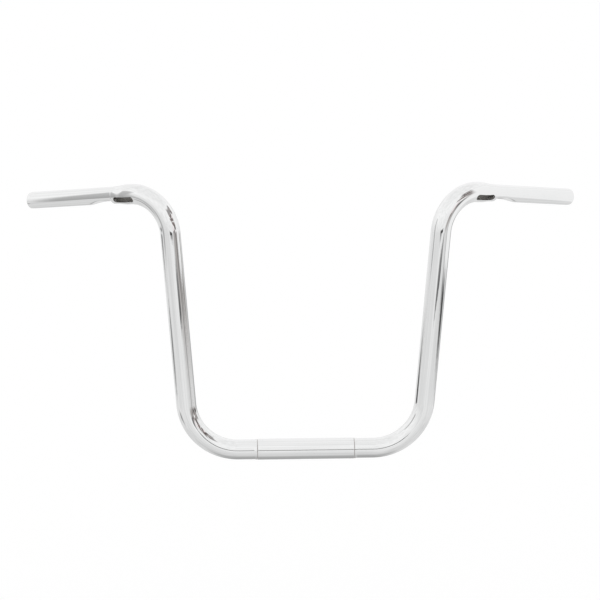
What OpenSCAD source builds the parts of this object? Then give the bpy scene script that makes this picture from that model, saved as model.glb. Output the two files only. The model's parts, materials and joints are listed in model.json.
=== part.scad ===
// Tall motorcycle handlebar: one chrome-plated steel tube with four bends.
// The middle is a thicker clamp section, and each end is swaged down to a grip.
// Origin: the middle of the clamp section, on its axis.
// X runs along the clamp section to the rider's left, Z up the risers, and Y to the rear,
// where the grips point.

/* [Tube diameters] */
// Outside diameter of the clamp section, 1 1/4 in
clamp_d = 31.75; // [31:0.05:33.5]
// Outside diameter of the bent main tube
tube_d = 30.2; // [29:0.1:30.8]
// Outside diameter of the grips, 1 in
grip_d = 25.4; // [22.2:0.1:26]
// Wall thickness of the main tube and the grips
wall = 3; // [2:0.1:3.4]

/* [Overall shape] */
// Height of the top of the upper bends above the clamp axis, 16 in
rise = 406.4; // [300:0.1:460]
// Distance between the centres of the two grip ends
span = 836; // [780:1:900]
// Distance between the lower corners, where the straight runs would meet
base_w = 352; // [330:1:400]
// Outward lean of each riser, in degrees
splay = 4.3; // [0:0.1:10]
// Backward sweep of the grips, in degrees
sweep = 30; // [10:0.5:40]
// Downward slope of the grips, in degrees
droop = 7.4; // [0:0.1:15]
// Centreline radius of the lower bends
low_r = 79; // [60:1:90]
// Centreline radius of the upper bends
high_r = 59; // [50:1:65]

/* [Clamp section] */
// Length of the clamp section between its two weld seams
clamp_len = 148; // [120:1:160]
// Width of the groove left along each weld seam
seam_w = 1.2; // [0.6:0.1:2]
// Depth of the seam groove
seam_deep = 0.6; // [0.2:0.1:0.7]
// Length of the dressed weld that blends down to the main tube
weld_len = 5; // [3:0.5:8]

/* [Grips] */
// Length from the grip's end to the witness ring of the swage
grip_len = 155; // [130:1:160]
// Length of the swage, where the main tube narrows to the grip
swage_len = 23; // [16:1:24]
// Width of the witness ring
ring_w = 2.4; // [1:0.1:4]
// Height of the witness ring above the grip
ring_h = 0.4; // [0.2:0.1:0.8]
// Length of the slight lead-in taper at the grip's end
lead_len = 7; // [4:0.5:10]
// Amount that the lead-in takes off the radius
lead_drop = 0.4; // [0.2:0.1:0.8]
// Rounding of the tube's cut end
lip_r = 1; // [0.5:0.1:1.3]

/* [Wiring dimples and holes] */
// Depth of the pressed dimple under each grip
dimple_deep = 5; // [2:0.1:5.5]
// Length of the dimple's flat floor
dimple_flat = 10; // [4:1:16]
// Length of its gentle slope towards the grip's end
dimple_slope = 25; // [12:1:30]
// Direction of the dimple, in degrees forward of straight down
dimple_aim = 12; // [0:1:40]
// Length of the wiring slot beside each witness ring
slot_len = 36; // [20:1:36]
// Width of the wiring slot
slot_w = 9.5; // [6:0.5:12]
// Direction of the slot, in degrees forward of straight down
slot_aim = 62; // [40:1:90]
// Length of the wiring exit under the clamp section
exit_len = 26; // [16:1:30]
// Width of the wiring exit
exit_w = 13; // [8:0.5:14]

/* [Hidden] */
$fn = 96;
chrome = [0.84, 0.85, 0.86];

clamp_r = clamp_d / 2;
tube_r = tube_d / 2;
grip_r = grip_d / 2;
bore_r = tube_r - wall;
grip_bore_r = grip_r - wall;
past = 1;              // how far a cutting shape runs past what it cuts
ball_proud = 0.05;     // the ball that joins a bend to a straight run stands this far out of the tube
ball_gap = 0.3;        // both of them end this far from the ball's centre
swage_steps = 10;      // cones that make up the S curve of a swage
lip_steps = 5;         // cones that make up a rounded lip
slot_gap = 2;          // from the witness ring to the slot
dimple_gap = 1;        // from the witness ring to the dimple's steep wall

// Straight runs of the half on the +X side, and the way to each bend's centre from its start
riser_dir = [sin(splay), 0, cos(splay)];
grip_dir = [cos(sweep) * cos(droop), sin(sweep) * cos(droop), -sin(droop)];
low_turn = 90 - splay;
high_turn = acos(riser_dir * grip_dir);
low_in = [-cos(splay), 0, sin(splay)];
high_in = unit(grip_dir - (grip_dir * riser_dir) * riser_dir);

// How far each bend starts before its corner
low_cut = low_r * tan(low_turn / 2);
high_cut = high_r * tan(high_turn / 2);

// The top of an upper bend's centreline stands this far above the bend's start
crest = high_r * (norm([riser_dir.z, high_in.z]) + high_in.z);
riser_len = (rise - tube_r - crest) / riser_dir.z - low_cut;
corner_x = base_w / 2 + (low_cut + riser_len + high_cut) * riser_dir.x;
end_len = (span / 2 - corner_x) / grip_dir.x - high_cut;
base_len = base_w / 2 - low_cut;

// Turn of the upper bend about the riser, from the plane of the lower bend
bend_twist = atan2(high_in * cross(riser_dir, low_in), high_in * low_in);

// Axes across the grip, with the bend's centre as the first and the tube as the third
across_in = cos(high_turn) * high_in - sin(high_turn) * riser_dir;
across_side = cross(riser_dir, high_in);
grip_down = unit([0, 0, -1] + grip_dir.z * grip_dir);
grip_fore = cross(grip_down, grip_dir);

// Stations along the end run, measured from the end of the upper bend
ring_z = end_len - grip_len;
swage_z = ring_z - ring_w - swage_len;

function unit(v) = v / norm(v);

// Angle about the grip of a direction so many degrees forward of straight down
function aim_angle(aim) = let (d = cos(aim) * grip_down + sin(aim) * grip_fore)
    atan2(d * across_side, d * across_in);

// S curve from radius r1 to r2, starting at station z
function swage_curve(r1, r2, z) = [for (i = [0 : swage_steps])
    [r1 + (r2 - r1) * (1 - cos(180 * i / swage_steps)) / 2, z + swage_len * i / swage_steps]];

// Quarter round from the wall to the end face, about the centre c
function lip_curve(c) = [for (i = [0 : lip_steps])
    c + lip_r * [cos(90 * i / lip_steps), sin(90 * i / lip_steps)]];

// Outline of half of the clamp section and the straight run beside it, as radius and station
function clamp_outline() = [
    [clamp_r, 0],
    [clamp_r, clamp_len / 2 - seam_w / 2],
    [clamp_r - seam_deep, clamp_len / 2],
    [clamp_r - 0.2, clamp_len / 2 + seam_w / 2],
    [clamp_r - 0.2, clamp_len / 2 + weld_len * 0.5],
    [tube_r, clamp_len / 2 + weld_len],
    [tube_r, base_len - ball_gap]
];

function mirrored(points) = [for (i = [len(points) - 1 : -1 : 1]) [points[i].x, -points[i].y]];

// One bend of a round rod, which starts at the origin along Z and turns towards X,
// with the ball at each end that joins it to the straight run there
module bent_rod(bend_r, turn, rod_r) {
    skipped = ball_gap / bend_r * 180 / PI;
    translate([bend_r, 0, 0])
        rotate([90, 0, 180])
            rotate(skipped)
                rotate_extrude(angle = turn - 2 * skipped)
                    translate([bend_r, 0])
                        circle(rod_r);
    sphere(rod_r + ball_proud);
    after_bend(bend_r, turn)
        sphere(rod_r + ball_proud);
}

// Moves its children to where such a bend ends
module after_bend(bend_r, turn) {
    translate([bend_r, 0, 0])
        rotate([0, turn, 0])
            translate([-bend_r, 0, 0])
                children();
}

// Moves its children, drawn along Z, to the end of the upper bend on the +X side
module at_bend_end() {
    translate([base_len, 0, 0])
        rotate([0, -90, 180])
            after_bend(low_r, low_turn)
                translate([0, 0, riser_len])
                    rotate(bend_twist)
                        after_bend(high_r, high_turn)
                            children();
}

// The two bends and the riser on the +X side, as a solid rod
module half_rod(rod_r) {
    translate([base_len, 0, 0])
        rotate([0, -90, 180]) {
            bent_rod(low_r, low_turn, rod_r);
            after_bend(low_r, low_turn) {
                translate([0, 0, ball_gap])
                    cylinder(h = riser_len - 2 * ball_gap, r = rod_r);
                translate([0, 0, riser_len])
                    rotate(bend_twist)
                        bent_rod(high_r, high_turn, rod_r);
            }
        }
}

module both_sides() {
    children();
    mirror([1, 0, 0])
        children();
}

// The thick middle, its two seams and the straight runs up to the lower bends
module clamp_section() {
    outline = clamp_outline();
    rotate([0, 90, 0])
        rotate_extrude()
            polygon(concat([[0, ball_gap - base_len]], mirrored(outline), outline,
                [[0, base_len - ball_gap]]));
}

// Outside of one end: main tube, swage, witness ring, grip, lead-in and rounded lip
module grip_end() {
    lead_r = grip_r - lead_drop;
    rotate_extrude()
        polygon(concat(
            [[0, ball_gap], [tube_r, ball_gap]],
            swage_curve(tube_r, grip_r + ring_h, swage_z),
            [[grip_r + ring_h, ring_z - ring_h], [grip_r, ring_z], [grip_r, end_len - lead_len]],
            lip_curve([lead_r - lip_r, end_len - lip_r]),
            [[0, end_len]]));
}

// Bore of one end, which narrows with the swage so that the wall stays even
module grip_bore() {
    rotate_extrude()
        polygon(concat(
            [[0, ball_gap], [bore_r, ball_gap]],
            swage_curve(bore_r, grip_bore_r, swage_z),
            [[grip_bore_r, end_len - lip_r], [grip_bore_r + lip_r / 2, end_len],
             [grip_bore_r + lip_r / 2, end_len + past], [0, end_len + past]]));
}

// The press tool of a dimple: a flat floor, a steep wall by the ring and a long slope outwards.
// With grow it is the same shape thickened all round, which gives the inside of the pressed wall.
module dimple_tool(grow) {
    floor_x = grip_r - dimple_deep;
    steep_r = dimple_deep;
    slope_r = (pow(dimple_slope, 2) + pow(dimple_deep, 2)) / (2 * dimple_deep);
    steep_y = ring_z + dimple_gap + steep_r;
    slope_y = steep_y + dimple_flat;
    rotate(aim_angle(dimple_aim))
        rotate([90, 0, 0])
            linear_extrude(height = 2 * tube_d, center = true) {
                translate([floor_x + steep_r, steep_y])
                    circle(steep_r + grow);
                translate([floor_x - grow, steep_y])
                    square([grip_d, dimple_flat]);
                intersection() {
                    translate([floor_x + slope_r, slope_y])
                        circle(slope_r + grow, $fn = 4 * $fn);
                    translate([0, slope_y])
                        square([grip_d, dimple_slope + grip_r]);
                }
            }
}

// A flat plate with round ends, long in Y, which stands along X from x1 to x2
module slot_plate(length, width, x1, x2) {
    run = length - width;
    translate([x1, 0, 0])
        rotate([90, 0, 90])
            linear_extrude(height = x2 - x1) {
                square([width, run], center = true);
                for (side = [-1, 1])
                    translate([0, side * run / 2])
                        circle(width / 2);
            }
}

// Cuts the wiring slot through the front wall, across the swage and the start of the bend
module slot_tool() {
    rotate(aim_angle(slot_aim))
        translate([0, 0, ring_z - ring_w - slot_gap - slot_len / 2])
            slot_plate(slot_len, slot_w, grip_bore_r - 2 * wall, tube_d);
}

// Cuts the wiring exit through the underside of the clamp section
module exit_tool() {
    rotate([0, 90, 0])
        slot_plate(exit_len, exit_w, bore_r / 2, clamp_d);
}

// The whole run of the bore, with each dimple's pressed wall standing into it
module bore() {
    difference() {
        union() {
            rotate([0, 90, 0])
                cylinder(h = 2 * (base_len - ball_gap), r = bore_r, center = true);
            both_sides() {
                half_rod(bore_r);
                at_bend_end()
                    grip_bore();
            }
        }
        both_sides()
            at_bend_end()
                dimple_tool(wall);
    }
}

module handlebar() {
    color(chrome)
        difference() {
            union() {
                clamp_section();
                both_sides() {
                    half_rod(tube_r);
                    at_bend_end()
                        grip_end();
                }
            }
            both_sides()
                at_bend_end() {
                    dimple_tool(0);
                    slot_tool();
                }
            bore();
            exit_tool();
        }
}

handlebar();
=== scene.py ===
"""Tall motorcycle handlebar: the skin of the chromed tube, its finish and a pale studio."""
import json
from math import atan2, ceil, cos, hypot, pi, radians, sin, sqrt, tan

import bpy
from mathutils import Matrix, Quaternion, Vector


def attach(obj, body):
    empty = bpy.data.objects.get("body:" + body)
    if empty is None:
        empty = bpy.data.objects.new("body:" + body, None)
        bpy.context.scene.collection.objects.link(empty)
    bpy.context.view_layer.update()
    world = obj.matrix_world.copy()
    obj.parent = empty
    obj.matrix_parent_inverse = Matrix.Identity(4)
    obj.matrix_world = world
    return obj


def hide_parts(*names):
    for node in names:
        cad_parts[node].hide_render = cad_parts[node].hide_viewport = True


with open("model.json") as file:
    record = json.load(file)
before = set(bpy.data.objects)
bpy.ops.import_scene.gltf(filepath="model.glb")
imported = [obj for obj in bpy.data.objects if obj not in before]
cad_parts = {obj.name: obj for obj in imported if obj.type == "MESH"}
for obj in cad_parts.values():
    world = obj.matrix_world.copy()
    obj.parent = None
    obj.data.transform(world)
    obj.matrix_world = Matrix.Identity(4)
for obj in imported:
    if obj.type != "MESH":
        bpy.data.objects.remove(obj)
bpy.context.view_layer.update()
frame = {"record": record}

MM = 0.001
UP = Vector((0, 0, 1))
LEFT = Vector((1, 0, 0))
mounts = {mount["name"]: mount for mount in frame["record"]["mounts"]}

# The bent tube, as in the part's source
CLAMP_R = mounts["clamp_section"]["dims"]["r_mm"] * MM
GRIP_R = mounts["left_grip"]["dims"]["r_mm"] * MM
GRIP_DIR = Vector(mounts["left_grip"]["axis"]).normalized()
TUBE_R = 15.1 * MM
WALL = 3 * MM
BORE_R = TUBE_R - WALL
RISE = 406.4 * MM
SPAN = 836 * MM
BASE_W = 352 * MM
SPLAY = radians(4.3)
LOW_R = 79 * MM
HIGH_R = 59 * MM

# The clamp section's seams and dressed welds
CLAMP_LEN = 148 * MM
SEAM_W = 1.2 * MM
SEAM_DEEP = 0.6 * MM
WELD_LEN = 5 * MM
WELD_DROP = 0.2 * MM

# The grinder's marks on each weld: how deep, and its waves as number round the tube, height
# and start
WELD_UNEVEN = 0.05 * MM
WELD_WAVES = ((5, 1, 0), (11, 0.7, 1), (17, 0.5, 2))

# The swaged ends
GRIP_LEN = 155 * MM
SWAGE_LEN = 23 * MM
RING_W = 2.4 * MM
RING_H = 0.4 * MM
LEAD_LEN = 7 * MM
LEAD_DROP = 0.4 * MM
LIP_R = 1 * MM

# Dimples, slots and exit for the wires
DIMPLE_DEEP = 5 * MM
DIMPLE_FLAT = 10 * MM
DIMPLE_SLOPE = 25 * MM
DIMPLE_GAP = 1 * MM
DIMPLE_AIM = radians(12)
DIMPLE_RIM = 2 * MM
SLOT_LEN = 36 * MM
SLOT_W = 9.5 * MM
SLOT_GAP = 2 * MM
SLOT_AIM = radians(62)
EXIT_LEN = 26 * MM
EXIT_W = 13 * MM

# How far the pressing is followed, past the dimple's slope and back past the ring in the bore,
# the share of the press tool's rounding that is a true arc, and the slope of its side past that
DIMPLE_PAST = 6 * MM
BULGE_BACK = 4 * MM
TOOL_ROUND = 0.98
TOOL_SIDE = 3

# How finely the skin is divided
SIDES = 96
CUTTER_SIDES = 50
BEND_STEP = radians(2.5)
FINE_STEP = 1 * MM
BASE_STEP = 8 * MM
GRIP_STEP = 12 * MM
RISER_STEP = 20 * MM
LIP_STEPS = 6
MERGE = 0.01 * MM
SHARP = radians(30)

# Waves and lines that the polishing belt leaves on the chrome: how wide and how deep
BELT_WAVE = 16 * MM
BELT_WAVE_DEEP = 0.045 * MM
BELT_LINE = 1.5 * MM
BELT_LINE_DEEP = 0.0012 * MM

# The chrome's shades, its hazy patches as width and roughness, and in the seam grooves a painted shade
# (a darker colour for the shade that falls in them) and their roughness
CHROME_BRIGHT = "#FAFAFA"
CHROME_HAZY = "#F2F3F3"
HAZE_WIDTH = 60 * MM
HAZE_LEAST = 0.035
HAZE_MOST = 0.075
SEAM_PAINTED_SHADE = "#CBC8C6"
SEAM_DULL = 0.3

# The bare steel of the bore: its shades, and its clouds and drawing marks
STEEL_DARK = "#D6D3CF"
STEEL_PALE = "#EBEAE8"
STEEL_CLOUD = 6 * MM
STEEL_MARK = 0.8 * MM
STEEL_MARK_DEEP = 0.03 * MM

# Where the camera stands, looks and how it is rolled, and its lens
CAMERA_AT = Vector((-125.9, -2423.5, 792.1)) * MM
CAMERA_AHEAD = Vector((0.04695, 0.97340, -0.22426))
CAMERA_ROLL = radians(0.08)
LENS = 99.62
FILM = 36

# The studio: its floor, the room's light, and how far its edges waver
FLOOR_Z = -400 * MM
FLOOR_SIZE = 100
FLOOR_PAINT = "#E6E6E6"
ROOM_LEVEL = 0.92
WAVER = 0.10

# The set of shelves on the bar's left: bearing, width, height, tallness, soft edge and tilt, as
# for the cards below, and the size of its blocks in degrees and their shades
SHELVES = (74, 68, 18, 50, 6, 0)
BLOCK_WIDE = 13
BLOCK_TALL = 6
BLOCK_SHADES = ((0, "#5E5654"), (0.22, "#8B817D"), (0.42, "#B9B2B0"), (0.6, "#EFE4E5"),
                (0.75, "#FFFFFF"))

# The cards that stand near the bar: the axis they face and their place on it, the lowest and
# highest corner in the other two axes and the soft edge, all in millimetres, and the colours at
# foot and top
STANDS = {
    "grey_card": ("X", -740, (-235, 160), (-48, 700), 80, "#A6A6A6", "#C8C8C8"),
    "white_card": ("X", 600, (-175, 160), (340, 760), 80, "#F4F4F4", "#F8F8F8"),
    "dark_card": ("Y", -1200, (330, -85), (950, 60), 60, "#505050", "#989898"),
    "long_card": ("Y", -2000, (-260, 5), (700, 190), 80, "#484848", "#606060"),
}

# Shades of the walls, by height in degrees
WALLS = ((-90, "#ABABAB"), (-76, "#B8B8B8"), (-64, "#D2D2D2"), (-48, "#DEDEDE"), (-30, "#E6E6E6"),
         (-16, "#F0F0F0"), (4, "#F4F4F4"), (26, "#FFFFFF"), (46, "#FAFAFA"), (66, "#F4F4F4"),
         (90, "#F8F8F8"))

# The cards behind the shelves and in front of them: bearing of the middle, width, height of the
# middle, tallness and soft edge in degrees as seen from the bar, tilt as a slope, and the colour
WALL_CARDS = (
    (-68, 112, -13, 20, 9, 0, "#E6E6E6"),
    (90, 130, -13, 12, 7, 0, "#E2E2E2"),
    (158, 56, -15, 14, 10, 0, "#B0B0B0"),
    (180, 60, -62, 26, 14, 0, "#A6A6A6"),
    (105, 90, -52, 24, 14, 0, "#E4E4E4"),
    (-110, 90, -54, 24, 14, 0, "#E0E0E0"),
)
NEAR_CARDS = (
    (68, 56, 38, 9, 5, 0, "#A2A0A0"),
    (66, 60, 22, 5, 3, 0, "#7A706E"),
    (82, 48, 8, 9, 4, 0, "#726B68"),
    (58, 26, 15, 5, 3, 0, "#7C706D"),
    (80, 88, -7, 7, 5, 0, "#B0ACAA"),
    (96, 44, -5.5, 6, 4, 0, "#5A5553"),
    (97, 40, -16.6, 3.2, 2.2, -0.05, "#505050"),
    (74, 18, -14.6, 3.4, 2.2, 0, "#4C4C4C"),
    (60, 18, -5, 6, 4, -0.7, "#707070"),
    (-115, 26, -12.8, 5, 3, 0, "#3C3C3C"),
    (-107, 30, -19, 2.4, 2, 0, "#8A8A8A"),
    (-86, 22, -31, 9, 7, -0.25, "#8C8C8C"),
)

# Runs and bends of the half on the rider's left, worked out from the sizes above
RISER_DIR = Vector((sin(SPLAY), 0, cos(SPLAY)))
LOW_TURN = pi / 2 - SPLAY
HIGH_TURN = RISER_DIR.angle(GRIP_DIR)
HIGH_IN = (GRIP_DIR - GRIP_DIR.dot(RISER_DIR) * RISER_DIR).normalized()
LOW_CUT = LOW_R * tan(LOW_TURN / 2)
HIGH_CUT = HIGH_R * tan(HIGH_TURN / 2)
CREST = HIGH_R * (hypot(RISER_DIR.z, HIGH_IN.z) + HIGH_IN.z)
RISER_LEN = (RISE - TUBE_R - CREST) / RISER_DIR.z - LOW_CUT
CORNER_X = BASE_W / 2 + (LOW_CUT + RISER_LEN + HIGH_CUT) * RISER_DIR.x
END_LEN = (SPAN / 2 - CORNER_X) / GRIP_DIR.x - HIGH_CUT
BASE_LEN = BASE_W / 2 - LOW_CUT
RISER_TOP = Vector((BASE_W / 2, 0, 0)) + (LOW_CUT + RISER_LEN) * RISER_DIR
END_START = RISER_TOP + HIGH_CUT * (RISER_DIR + GRIP_DIR)

# Stations along the end run, from the end of the upper bend
RING_Z = END_LEN - GRIP_LEN
SWAGE_Z = RING_Z - RING_W - SWAGE_LEN
DIMPLE_Z = RING_Z + DIMPLE_GAP + DIMPLE_DEEP
PRESS_END = DIMPLE_Z + DIMPLE_FLAT + DIMPLE_SLOPE + DIMPLE_PAST

# Ways out of the end run: straight down, and forward of it
GRIP_DOWN = (GRIP_DIR.z * GRIP_DIR - UP).normalized()
GRIP_FORE = GRIP_DOWN.cross(GRIP_DIR)


def deselect_all():
    bpy.ops.object.select_all(action="DESELECT")


def aimed(angle):
    """The way out of the end run that points so far forward of straight down."""
    return cos(angle) * GRIP_DOWN + sin(angle) * GRIP_FORE


def make_camera():
    """Stands where the photograph was taken from, a little above the bar and to its right."""
    turn = CAMERA_AHEAD.to_track_quat("-Z", "Y") @ Quaternion(UP, CAMERA_ROLL)
    bpy.ops.object.camera_add(location=CAMERA_AT, rotation=turn.to_euler())
    camera = bpy.context.object
    camera.name = "camera"
    camera.data.lens = LENS
    camera.data.sensor_width = FILM
    camera.data.clip_start = 0.05
    camera.data.clip_end = 60
    bpy.context.scene.camera = camera


class OpenEnd:
    """The open ring of edges at the end of the tube's skin, which draws the skin on."""

    def __init__(self, radius):
        deselect_all()
        bpy.ops.mesh.primitive_circle_add(vertices=SIDES, radius=radius, rotation=(0, pi / 2, 0))
        bpy.ops.object.transform_apply(location=True, rotation=True, scale=True)
        self.skin = bpy.context.object
        self.middle = Vector((0, 0, 0))
        self.ahead = LEFT.copy()
        self.radius = radius
        bpy.ops.object.mode_set(mode="EDIT")
        bpy.ops.mesh.select_mode(type="EDGE")
        bpy.ops.mesh.select_all(action="SELECT")

    def resize(self, radius):
        """Gives the ring that radius."""
        share = radius / self.radius
        if abs(share - 1) > 1e-6:
            bpy.ops.transform.resize(value=(share, share, share), center_override=self.middle)
        self.radius = radius

    def draw(self, distance, radius):
        """Draws the skin straight on, to a ring of that radius."""
        step = distance * self.ahead
        bpy.ops.mesh.extrude_edges_move(TRANSFORM_OT_translate={"value": step})
        self.middle = self.middle + step
        self.resize(radius)

    def run(self, stations):
        """Draws the skin through stations, each a distance from where the run starts and a radius."""
        reached = stations[0][0]
        for station, radius in stations[1:]:
            self.draw(station - reached, radius)
            reached = station

    def bend(self, towards, bend_r, turn):
        """Spins the skin round a bend whose centre lies towards that side."""
        centre = self.middle + towards * bend_r
        axis = self.ahead.cross(towards)
        bpy.ops.mesh.spin(steps=ceil(turn / BEND_STEP), angle=-turn, center=centre, axis=axis)
        turned = Quaternion(axis, turn)
        self.middle = centre + turned @ (self.middle - centre)
        self.ahead = turned @ self.ahead

    def turn_back(self):
        """Faces the other way, to draw the inner skin back along the bore."""
        self.ahead = -self.ahead


def evenly(start, end, step):
    """Stations from start to end, about a step apart."""
    count = max(1, round(abs(end - start) / step))
    return [start + (end - start) * i / count for i in range(count + 1)]


def swage_radius(station, wide, narrow):
    """The S curve by which the tube narrows to the grip."""
    share = min(max((station - SWAGE_Z) / SWAGE_LEN, 0), 1)
    return wide + (narrow - wide) * (1 - cos(pi * share)) / 2


def clamp_stations():
    """Outside of the clamp section: its seam and the dressed weld that blends down to the tube."""
    edge = CLAMP_LEN / 2
    proud = CLAMP_R - WELD_DROP
    groove = [(edge + SEAM_W / 2 * x, CLAMP_R - SEAM_DEEP * deep)
              for x, deep in ((-1.2, 0.02), (-0.9, 0.12), (-0.3, 0.85), (0, 1), (0.3, 0.9))]
    weld_run = WELD_LEN - SEAM_W / 2
    weld = [(edge + SEAM_W / 2 + share * weld_run,
             TUBE_R + (proud - TUBE_R) * (1 + cos(pi * share)) / 2)
            for share in (0, 0.15, 0.3, 0.45, 0.6, 0.75, 0.9, 1)]
    plain = [(station, CLAMP_R) for station in evenly(0, EXIT_LEN, 2 * FINE_STEP)]
    plain += [(station, CLAMP_R) for station in evenly(EXIT_LEN, edge - SEAM_W, BASE_STEP)[1:]]
    rest = [(station, TUBE_R) for station in evenly(edge + WELD_LEN, BASE_LEN, BASE_STEP)[1:]]
    return plain + groove + weld + rest


def end_stations():
    """Outside of one end: tube, swage, witness ring, grip, lead-in and rounded lip."""
    swage = [(station, swage_radius(station, TUBE_R, GRIP_R + RING_H))
             for station in evenly(0, RING_Z - RING_W, FINE_STEP)]
    ring = [(RING_Z - RING_W * (1 - share), GRIP_R + RING_H * crown)
            for share, crown in ((0.25, 1), (0.6, 1), (0.8, 0.92), (0.92, 0.6), (1, 0.12), (1.08, 0))]
    pressed = evenly(RING_Z + RING_W / 8, DIMPLE_Z, FINE_STEP / 2)[1:]
    pressed += evenly(DIMPLE_Z, PRESS_END, FINE_STEP)[1:]
    plain = evenly(PRESS_END, END_LEN - LEAD_LEN, GRIP_STEP)[1:]
    grip = [(station, GRIP_R) for station in pressed + plain]
    lead = [(END_LEN - LEAD_LEN * (1 - share), GRIP_R - LEAD_DROP * share ** 1.5)
            for share in (0.15, 0.3, 0.55, 0.8)]
    lip_r = GRIP_R - LEAD_DROP - LIP_R
    lip = [(END_LEN - LIP_R + LIP_R * sin(turn), lip_r + LIP_R * cos(turn))
           for turn in evenly(0, pi / 2, pi / 2 / LIP_STEPS)]
    return swage + ring + grip + lead + lip


def bore_stations():
    """Inside of one end, from the lip back to the upper bend, as distances that the ring goes back."""
    mouth = GRIP_R - WALL
    lip = [(0, GRIP_R - LEAD_DROP - LIP_R)] + [
        (LIP_R / 2 * (1 - cos(turn)), mouth + LIP_R / 2 * (1 - sin(turn)))
        for turn in evenly(0, pi / 2, pi / 2 / LIP_STEPS)]
    plain = evenly(LIP_R, END_LEN - PRESS_END, GRIP_STEP)
    pressed = evenly(END_LEN - PRESS_END, GRIP_LEN + RING_W, FINE_STEP)[1:]
    grip = [(station, mouth) for station in plain + pressed]
    swage = [(station, swage_radius(END_LEN - station, BORE_R, mouth))
             for station in evenly(GRIP_LEN + RING_W, END_LEN, FINE_STEP)[1:]]
    return lip + grip + swage


def draw_half(end):
    """Draws the outer skin out to the lip and the inner skin back, for the half on the rider's left."""
    end.run(clamp_stations())
    end.bend(UP, LOW_R, LOW_TURN)
    end.run([(station, TUBE_R) for station in evenly(0, RISER_LEN, RISER_STEP)])
    end.bend(HIGH_IN, HIGH_R, HIGH_TURN)
    end.run(end_stations())
    end.skin.update_from_editmode()
    outer_faces = len(end.skin.data.polygons)
    end.turn_back()
    end.run(bore_stations())
    to_high_centre = cos(HIGH_TURN) * HIGH_IN - sin(HIGH_TURN) * RISER_DIR
    end.bend(to_high_centre, HIGH_R, HIGH_TURN)
    end.run([(station, BORE_R) for station in evenly(0, RISER_LEN, 2 * RISER_STEP)])
    to_low_centre = Vector((-cos(SPLAY), 0, sin(SPLAY)))
    end.bend(to_low_centre, LOW_R, LOW_TURN)
    end.run([(station, BORE_R) for station in evenly(0, BASE_LEN - EXIT_LEN, RISER_STEP)])
    end.run([(station, BORE_R) for station in evenly(0, EXIT_LEN, 2 * FINE_STEP)])
    bpy.ops.object.mode_set(mode="OBJECT")
    return outer_faces


def soft_min(a, b, blend):
    """The lower of two heights, with a round blend where they meet."""
    near = max(blend - abs(a - b), 0) / blend
    return min(a, b) - near * near * blend / 4


def dimple_floor(station, inset):
    """Height of the press tool over the grip's axis; inset is how far inside its face the skin lies."""
    floor = GRIP_R - DIMPLE_DEEP
    if station < DIMPLE_Z:
        round_r = DIMPLE_DEEP
        back = DIMPLE_Z - station
    else:
        round_r = (DIMPLE_SLOPE ** 2 + DIMPLE_DEEP ** 2) / (2 * DIMPLE_DEEP)
        back = max(station - DIMPLE_Z - DIMPLE_FLAT, 0)
    reach = round_r + inset
    if back < reach * TOOL_ROUND:
        return floor + round_r - sqrt(reach ** 2 - back ** 2)
    return floor + round_r + TOOL_SIDE * (back - reach)


def press_dimple(skin):
    """Presses the dimple into both skins, with soft rims, so that the wall keeps its thickness."""
    aim = aimed(DIMPLE_AIM)
    for vertex in skin.data.vertices:
        out = vertex.co - END_START
        station = out.dot(GRIP_DIR)
        height = out.dot(aim)
        if height < GRIP_R / 4 or not RING_Z - BULGE_BACK < station < PRESS_END:
            continue
        from_axis = (out - station * GRIP_DIR).length
        inset = WALL if from_axis < GRIP_R - WALL / 2 else 0
        if inset == 0 and station < RING_Z:
            continue
        pressed = soft_min(height, dimple_floor(station, inset), DIMPLE_RIM)
        vertex.co += (pressed - height) * aim


def roughen_weld(skin):
    """Leaves the dressed weld a little uneven round the tube, as hand grinding does. The wave
    takes off more than it leaves."""
    start = CLAMP_LEN / 2 + SEAM_W / 2
    for vertex in skin.data.vertices:
        share = (vertex.co.x - start) / (WELD_LEN - SEAM_W / 2)
        from_axis = hypot(vertex.co.y, vertex.co.z)
        if 0 < share < 1 and from_axis > TUBE_R - WALL / 2:
            turn = atan2(vertex.co.z, vertex.co.y)
            wave = sum(tall * sin(count * turn + first) for count, tall, first in WELD_WAVES)
            lift = 1 + WELD_UNEVEN * sin(pi * share) * (wave - 1) / 2 / from_axis
            vertex.co.y *= lift
            vertex.co.z *= lift


def make_cutter(length, width, middle, out, along, near, far):
    """A plate with round ends that stands along out, from near to far, and is long in along."""
    deselect_all()
    bpy.ops.mesh.primitive_cylinder_add(vertices=CUTTER_SIDES, radius=width / 2, depth=far - near)
    cutter = bpy.context.object
    bpy.ops.object.mode_set(mode="EDIT")
    for side in (-1, 1):
        bpy.ops.mesh.select_all(action="DESELECT")
        bpy.ops.object.mode_set(mode="OBJECT")
        for vertex in cutter.data.vertices:
            vertex.select = vertex.co.y * side > 0
        bpy.ops.object.mode_set(mode="EDIT")
        bpy.ops.mesh.select_mode(type="VERT")
        bpy.ops.transform.translate(value=(0, side * (length - width) / 2, 0))
    bpy.ops.object.mode_set(mode="OBJECT")
    across = along.cross(out)
    turn = Matrix((across, along, out)).transposed().to_4x4()
    cutter.matrix_world = Matrix.Translation(middle + out * (near + far) / 2) @ turn
    return cutter


def cut(skin, cutter):
    """Cuts a hole through the wall and takes the cutter away."""
    bpy.context.view_layer.objects.active = skin
    bpy.ops.object.modifier_add(type="BOOLEAN")
    hole = skin.modifiers[-1]
    hole.operation = "DIFFERENCE"
    hole.solver = "EXACT"
    hole.material_mode = "TRANSFER"
    hole.object = cutter
    bpy.ops.object.modifier_apply(modifier=hole.name)
    bpy.data.objects.remove(cutter)


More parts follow.
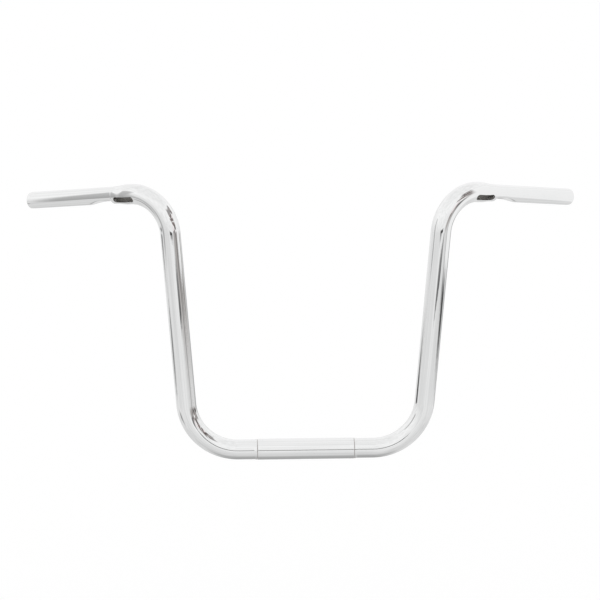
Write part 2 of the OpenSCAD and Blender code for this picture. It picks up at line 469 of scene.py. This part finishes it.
def cut_wiring_holes(skin, chrome):
    """The slot in the front of each end and the exit under the clamp section."""
    cutters = []
    slot_middle = RING_Z - RING_W - SLOT_GAP - SLOT_LEN / 2
    for side in (1, -1):
        flip = Vector((side, 1, 1))
        cutters.append(make_cutter(SLOT_LEN, SLOT_W, (END_START + slot_middle * GRIP_DIR) * flip,
                                   aimed(SLOT_AIM) * flip, GRIP_DIR * flip,
                                   GRIP_R - 3 * WALL, 2 * TUBE_R))
    cutters.append(make_cutter(EXIT_LEN, EXIT_W, Vector((0, 0, 0)), -UP, LEFT,
                               TUBE_R / 2, 2 * CLAMP_R))
    for cutter in cutters:
        cutter.data.materials.append(chrome)
        cut(skin, cutter)


def make_handlebar(chrome, steel):
    """One closed skin: the chromed outside, the lips and the bare bore."""
    end = OpenEnd(CLAMP_R)
    outer_faces = draw_half(end)
    skin = end.skin
    skin.name = "handlebar_skin"
    skin.data.materials.append(chrome)
    skin.data.materials.append(steel)
    for face in skin.data.polygons:
        face.material_index = 0 if face.index < outer_faces else 1
    press_dimple(skin)
    roughen_weld(skin)
    bpy.ops.object.modifier_add(type="MIRROR")
    skin.modifiers[-1].merge_threshold = MERGE
    bpy.ops.object.modifier_apply(modifier=skin.modifiers[-1].name)
    bpy.ops.object.mode_set(mode="EDIT")
    bpy.ops.mesh.select_all(action="SELECT")
    bpy.ops.mesh.remove_doubles(threshold=MERGE)
    bpy.ops.mesh.normals_make_consistent(inside=False)
    bpy.ops.object.mode_set(mode="OBJECT")
    cut_wiring_holes(skin, chrome)
    deselect_all()
    skin.select_set(True)
    bpy.context.view_layer.objects.active = skin
    bpy.ops.object.shade_smooth_by_angle(angle=SHARP)
    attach(skin, "root")
    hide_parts("handlebar")
    return skin


def linear(hex_colour):
    """A shader's linear colour from an sRGB hex value."""
    parts = [int(hex_colour[i:i + 2], 16) / 255 for i in (1, 3, 5)]
    return [p / 12.92 if p <= 0.04045 else ((p + 0.055) / 1.055) ** 2.4 for p in parts] + [1]


def node(tree, kind, settings=(), inputs=()):
    """Adds a node with its settings, and its inputs as values or as links from other nodes."""
    made = tree.nodes.new(kind)
    for name, value in dict(settings).items():
        setattr(made, name, value)
    for name, value in dict(inputs).items():
        if isinstance(value, bpy.types.NodeSocket):
            tree.links.new(value, made.inputs[name])
        else:
            made.inputs[name].default_value = value
    return made


def new_material(name):
    """An empty material, and its tree and output node."""
    material = bpy.data.materials.new(name)
    material.use_nodes = True
    material.node_tree.nodes.clear()
    output = material.node_tree.nodes.new("ShaderNodeOutputMaterial")
    return material, material.node_tree, output


def chrome_plate():
    """Decorative chrome over nickel on a belt-polished tube: a bright mirror, a little hazy in
    places, with the shallow waves and fine lines that the polishing belt leaves, which make its
    reflections tremble. The seam grooves are rougher and carry painted shade, a darker colour for
    the shade that falls in them, so they show as dull dark lines."""
    material, tree, output = new_material("polished_chrome_plate")
    place = node(tree, "ShaderNodeTexCoord").outputs["Object"]
    waves = node(tree, "ShaderNodeTexNoise", inputs={
        "Vector": place, "Scale": 1 / BELT_WAVE, "Detail": 2, "Roughness": 0.4})
    lines = node(tree, "ShaderNodeTexNoise", inputs={
        "Vector": place, "Scale": 1 / BELT_LINE, "Detail": 3, "Roughness": 0.6})
    wavy = node(tree, "ShaderNodeBump", inputs={
        "Height": waves.outputs["Fac"], "Strength": 1, "Distance": BELT_WAVE_DEEP})
    lined = node(tree, "ShaderNodeBump", inputs={
        "Height": lines.outputs["Fac"], "Strength": 1, "Distance": BELT_LINE_DEEP,
        "Normal": wavy.outputs["Normal"]})
    cloud = node(tree, "ShaderNodeTexNoise", inputs={
        "Vector": place, "Scale": 1 / HAZE_WIDTH, "Detail": 3, "Roughness": 0.55})
    haze = node(tree, "ShaderNodeMapRange", inputs={
        "Value": cloud.outputs["Fac"], "From Min": 0.4, "From Max": 0.7,
        "To Min": HAZE_LEAST, "To Max": HAZE_MOST})
    tint = node(tree, "ShaderNodeMix", {"data_type": "RGBA"}, {
        0: cloud.outputs["Fac"], 6: linear(CHROME_BRIGHT), 7: linear(CHROME_HAZY)})
    parts = node(tree, "ShaderNodeSeparateXYZ", inputs={"Vector": place})
    aside = node(tree, "ShaderNodeMath", {"operation": "ABSOLUTE"}, {0: parts.outputs["X"]})
    off = node(tree, "ShaderNodeMath", {"operation": "SUBTRACT"}, {
        0: aside.outputs["Value"], 1: CLAMP_LEN / 2})
    away = node(tree, "ShaderNodeMath", {"operation": "ABSOLUTE"}, {0: off.outputs["Value"]})
    groove = within(tree, away.outputs["Value"], SEAM_W / 2, SEAM_W / 2)
    # Painted shade: the seam grooves get a darker colour that stands in for the shade falling in them
    groove_shaded = node(tree, "ShaderNodeMix", {"data_type": "RGBA"}, {
        0: groove, 6: tint.outputs[2], 7: linear(SEAM_PAINTED_SHADE)})
    dulled = node(tree, "ShaderNodeMix", {"data_type": "FLOAT"}, {
        0: groove, 2: haze.outputs["Result"], 3: SEAM_DULL})
    shader = node(tree, "ShaderNodeBsdfPrincipled", inputs={
        "Base Color": groove_shaded.outputs[2], "Metallic": 1, "Roughness": dulled.outputs[0],
        "Normal": lined.outputs["Normal"]})
    tree.links.new(shader.outputs["BSDF"], output.inputs["Surface"])
    return material


def bare_steel():
    """Drawn steel inside the bore, which the chrome bath hardly reaches: a pale warm grey and a
    little cloudy, with fine drawing marks that spread the light, so it is shaded nearly matt."""
    material, tree, output = new_material("bare_drawn_steel")
    place = node(tree, "ShaderNodeTexCoord").outputs["Object"]
    cloud = node(tree, "ShaderNodeTexNoise", inputs={
        "Vector": place, "Scale": 1 / STEEL_CLOUD, "Detail": 5, "Roughness": 0.6})
    marks = node(tree, "ShaderNodeTexNoise", inputs={
        "Vector": place, "Scale": 1 / STEEL_MARK, "Detail": 2, "Roughness": 0.5})
    tint = node(tree, "ShaderNodeMix", {"data_type": "RGBA"}, {
        0: cloud.outputs["Fac"], 6: linear(STEEL_DARK), 7: linear(STEEL_PALE)})
    dull = node(tree, "ShaderNodeMapRange", inputs={
        "Value": cloud.outputs["Fac"], "From Min": 0.3, "From Max": 0.7,
        "To Min": 0.5, "To Max": 0.32})
    bump = node(tree, "ShaderNodeBump", inputs={
        "Height": marks.outputs["Fac"], "Strength": 1, "Distance": STEEL_MARK_DEEP})
    shader = node(tree, "ShaderNodeBsdfPrincipled", inputs={
        "Base Color": tint.outputs[2], "Metallic": 0.1, "Roughness": dull.outputs["Result"],
        "Normal": bump.outputs["Normal"]})
    tree.links.new(shader.outputs["BSDF"], output.inputs["Surface"])
    return material


def make_floor():
    """A pale floor well below the bar, which hangs over it as if in its clamps. Its paint returns
    most of the light, and the rest is made up for the camera, so that it looks as white as the
    walls while the bar's shadow stays."""
    material, tree, output = new_material("pale_studio_floor")
    path = node(tree, "ShaderNodeLightPath")
    paint = node(tree, "ShaderNodeBsdfDiffuse", inputs={"Color": linear(FLOOR_PAINT)})
    lift = node(tree, "ShaderNodeMath", {"operation": "MULTIPLY"}, {
        0: path.outputs["Is Camera Ray"], 1: 1 - ROOM_LEVEL * linear(FLOOR_PAINT)[0]})
    glow = node(tree, "ShaderNodeEmission", inputs={"Strength": lift.outputs["Value"]})
    both = node(tree, "ShaderNodeAddShader", inputs={
        0: paint.outputs["BSDF"], 1: glow.outputs["Emission"]})
    tree.links.new(both.outputs["Shader"], output.inputs["Surface"])
    deselect_all()
    bpy.ops.mesh.primitive_plane_add(size=FLOOR_SIZE, location=(0, 0, FLOOR_Z))
    bpy.ops.object.transform_apply(location=True)
    floor = bpy.context.object
    floor.name = "floor"
    floor.data.materials.append(material)
    floor.visible_glossy = False


def sight(tree):
    """Bearing and height, in degrees, of the direction that a mirror ray leaves in: bearing 0 is
    the front, where the camera stands, and positive bearings are on the bar's left side."""
    way = node(tree, "ShaderNodeTexCoord").outputs["Generated"]
    uneven = node(tree, "ShaderNodeTexNoise", inputs={
        "Vector": way, "Scale": 5, "Detail": 3, "Roughness": 0.6})
    centred = node(tree, "ShaderNodeVectorMath", {"operation": "SUBTRACT"}, {
        0: uneven.outputs["Color"], 1: (0.5, 0.5, 0.5)})
    scaled = node(tree, "ShaderNodeVectorMath", {"operation": "SCALE"}, {
        0: centred.outputs["Vector"], "Scale": WAVER})
    bent = node(tree, "ShaderNodeVectorMath", {"operation": "ADD"}, {
        0: way, 1: scaled.outputs["Vector"]})
    unit = node(tree, "ShaderNodeVectorMath", {"operation": "NORMALIZE"}, {
        0: bent.outputs["Vector"]})
    parts = node(tree, "ShaderNodeSeparateXYZ", inputs={"Vector": unit.outputs["Vector"]})
    front = node(tree, "ShaderNodeMath", {"operation": "MULTIPLY"}, {0: parts.outputs["Y"], 1: -1})
    around = node(tree, "ShaderNodeMath", {"operation": "ARCTAN2"}, {
        0: parts.outputs["X"], 1: front.outputs["Value"]})
    above = node(tree, "ShaderNodeMath", {"operation": "ARCSINE"}, {0: parts.outputs["Z"]})
    in_degrees = [node(tree, "ShaderNodeMath", {"operation": "DEGREES"}, {0: angle.outputs["Value"]})
                  for angle in (around, above)]
    return [angle.outputs["Value"] for angle in in_degrees]


def within(tree, away, half, soft):
    """One inside half the width, nought past a soft edge."""
    edge = node(tree, "ShaderNodeMapRange", {"interpolation_type": "SMOOTHSTEP"}, {
        "Value": away, "From Min": half + soft / 2, "From Max": half - soft / 2,
        "To Min": 0, "To Max": 1})
    return edge.outputs["Result"]


def hang(tree, studio, card, shade, bearing, height):
    """Lays one card over what the mirror sees of the studio, and returns both together."""
    around, wide, above, tall, soft, tilt = card
    turned = node(tree, "ShaderNodeMath", {"operation": "SUBTRACT"}, {0: bearing, 1: around})
    aside = node(tree, "ShaderNodeMath", {"operation": "PINGPONG"}, {
        0: turned.outputs["Value"], 1: 180})
    sloped = node(tree, "ShaderNodeMath", {"operation": "MULTIPLY_ADD"}, {
        0: turned.outputs["Value"], 1: -tilt, 2: height})
    raised = node(tree, "ShaderNodeMath", {"operation": "SUBTRACT"}, {
        0: sloped.outputs["Value"], 1: above})
    upright = node(tree, "ShaderNodeMath", {"operation": "ABSOLUTE"}, {0: raised.outputs["Value"]})
    across = within(tree, aside.outputs["Value"], wide / 2, min(2 * soft, wide))
    along = within(tree, upright.outputs["Value"], tall / 2, min(soft, tall))
    cover = node(tree, "ShaderNodeMath", {"operation": "MULTIPLY"}, {0: across, 1: along})
    layer = node(tree, "ShaderNodeMix", {"data_type": "RGBA"}, {
        0: cover.outputs["Value"], 6: studio, 7: shade})
    return layer.outputs[2]


def shelf_blocks(tree, bearing, height):
    """The uneven blocks of a full set of shelves: browns and greys between pinkish whites."""
    across = node(tree, "ShaderNodeMath", {"operation": "DIVIDE"}, {0: bearing, 1: BLOCK_WIDE})
    up = node(tree, "ShaderNodeMath", {"operation": "DIVIDE"}, {0: height, 1: BLOCK_TALL})
    spot = node(tree, "ShaderNodeCombineXYZ", inputs={
        "X": across.outputs["Value"], "Y": up.outputs["Value"]})
    blocks = node(tree, "ShaderNodeTexVoronoi", {
        "voronoi_dimensions": "2D", "distance": "CHEBYCHEV"}, {
        "Vector": spot.outputs["Vector"], "Scale": 1, "Randomness": 0.6})
    parts = node(tree, "ShaderNodeSeparateColor", inputs={"Color": blocks.outputs["Color"]})
    shades = node(tree, "ShaderNodeValToRGB", inputs={"Fac": parts.outputs["Red"]})
    shades.color_ramp.interpolation = "CONSTANT"
    stops = shades.color_ramp.elements
    for share, colour in BLOCK_SHADES[2:]:
        stops.new(share)
    for stop, (share, colour) in zip(stops, BLOCK_SHADES):
        stop.position = share
        stop.color = linear(colour)
    return shades.outputs["Color"]


def cloud_over(tree, studio):
    """Makes the walls a little uneven, which the long straight tubes draw out into faint lines."""
    way = node(tree, "ShaderNodeTexCoord").outputs["Generated"]
    cloud = node(tree, "ShaderNodeTexNoise", inputs={
        "Vector": way, "Scale": 9, "Detail": 2, "Roughness": 0.6})
    shade = node(tree, "ShaderNodeMapRange", inputs={
        "Value": cloud.outputs["Fac"], "From Min": 0.3, "From Max": 0.7,
        "To Min": 0.86, "To Max": 1.06})
    layer = node(tree, "ShaderNodeMix", {
        "data_type": "RGBA", "blend_type": "MULTIPLY", "clamp_result": True}, {
        0: 1.0, 6: studio, 7: shade.outputs["Result"]})
    return layer.outputs[2]


def stand_card(name, facing, place_on_axis, low, high, soft, foot_colour, top_colour):
    """A card that stands near the bar, soft at its edges, which only the chrome shows."""
    material, tree, output = new_material(name)
    place = node(tree, "ShaderNodeTexCoord").outputs["Object"]
    parts = node(tree, "ShaderNodeSeparateXYZ", inputs={"Vector": place})
    covers = []
    for axis, start, end in zip("YZ" if facing == "X" else "XZ", low, high):
        off = node(tree, "ShaderNodeMath", {"operation": "SUBTRACT"}, {
            0: parts.outputs[axis], 1: (start + end) / 2 * MM})
        away = node(tree, "ShaderNodeMath", {"operation": "ABSOLUTE"}, {0: off.outputs["Value"]})
        covers.append(within(tree, away.outputs["Value"], (end - start) / 2 * MM, soft * MM))
    cover = node(tree, "ShaderNodeMath", {"operation": "MULTIPLY"}, {0: covers[0], 1: covers[1]})
    rise = node(tree, "ShaderNodeMapRange", inputs={
        "Value": parts.outputs["Z"], "From Min": low[1] * MM, "From Max": high[1] * MM,
        "To Min": 0, "To Max": 1})
    shade = node(tree, "ShaderNodeMix", {"data_type": "RGBA"}, {
        0: rise.outputs["Result"], 6: linear(foot_colour), 7: linear(top_colour)})
    glow = node(tree, "ShaderNodeEmission", inputs={"Color": shade.outputs[2], "Strength": 1})
    clear = node(tree, "ShaderNodeBsdfTransparent")
    both = node(tree, "ShaderNodeMixShader", inputs={
        0: cover.outputs["Value"], 1: clear.outputs["BSDF"], 2: glow.outputs["Emission"]})
    tree.links.new(both.outputs["Shader"], output.inputs["Surface"])
    deselect_all()
    bpy.ops.mesh.primitive_plane_add(size=1)
    card = bpy.context.object
    card.name = name
    wide, tall = [(end - start + soft) * MM for start, end in zip(low, high)]
    middle = [(start + end) / 2 * MM for start, end in zip(low, high)]
    card.scale = (wide, tall, 1)
    card.rotation_euler = (pi / 2, 0, pi / 2 if facing == "X" else 0)
    card.location = ((place_on_axis * MM, *middle) if facing == "X"
                     else (middle[0], place_on_axis * MM, middle[1]))
    bpy.ops.object.transform_apply(location=True, rotation=True, scale=True)
    card.data.materials.append(material)
    card.visible_camera = False
    card.visible_diffuse = False
    card.visible_shadow = False


def light_studio():
    """A white room lights the bar evenly. In the chrome it shows as walls of slightly different
    greys, with the cards that are set round polished metal to draw its shape."""
    world = bpy.data.worlds.new("pale_studio")
    bpy.context.scene.world = world
    world.use_nodes = True
    tree = world.node_tree
    tree.nodes.clear()
    bearing, height = sight(tree)
    share = node(tree, "ShaderNodeMapRange", inputs={
        "Value": height, "From Min": -90, "From Max": 90, "To Min": 0, "To Max": 1})
    walls = node(tree, "ShaderNodeValToRGB", inputs={"Fac": share.outputs["Result"]})
    stops = walls.color_ramp.elements
    for angle, colour in WALLS[1:-1]:
        stops.new((angle + 90) / 180)
    for stop, (angle, colour) in zip(stops, WALLS):
        stop.position = (angle + 90) / 180
        stop.color = linear(colour)
    studio = walls.outputs["Color"]
    hung = [(card, linear(colour)) for *card, colour in WALL_CARDS]
    hung.append((SHELVES, shelf_blocks(tree, bearing, height)))
    hung += [(card, linear(colour)) for *card, colour in NEAR_CARDS]
    for card, shade in hung:
        studio = hang(tree, studio, card, shade, bearing, height)
    studio = cloud_over(tree, studio)
    rooms = [node(tree, "ShaderNodeBackground", inputs={"Color": colour, "Strength": 1})
             for colour in ([ROOM_LEVEL] * 3 + [1], studio, linear("#FFFFFF"))]
    lit, mirrored, seen = [room.outputs["Background"] for room in rooms]
    path = node(tree, "ShaderNodeLightPath")
    shown = node(tree, "ShaderNodeMath", {"operation": "MAXIMUM"}, {
        0: path.outputs["Is Glossy Ray"], 1: path.outputs["Is Transmission Ray"]})
    in_metal = node(tree, "ShaderNodeMixShader", inputs={
        0: shown.outputs["Value"], 1: lit, 2: mirrored})
    behind = node(tree, "ShaderNodeMixShader", inputs={
        0: path.outputs["Is Camera Ray"], 1: in_metal.outputs["Shader"], 2: seen})
    output = node(tree, "ShaderNodeOutputWorld")
    tree.links.new(behind.outputs["Shader"], output.inputs["Surface"])


make_camera()
make_handlebar(chrome_plate(), bare_steel())
make_floor()
for card_name, card_facts in STANDS.items():
    stand_card(card_name, *card_facts)
light_studio()
bpy.context.scene.view_settings.view_transform = "Standard"
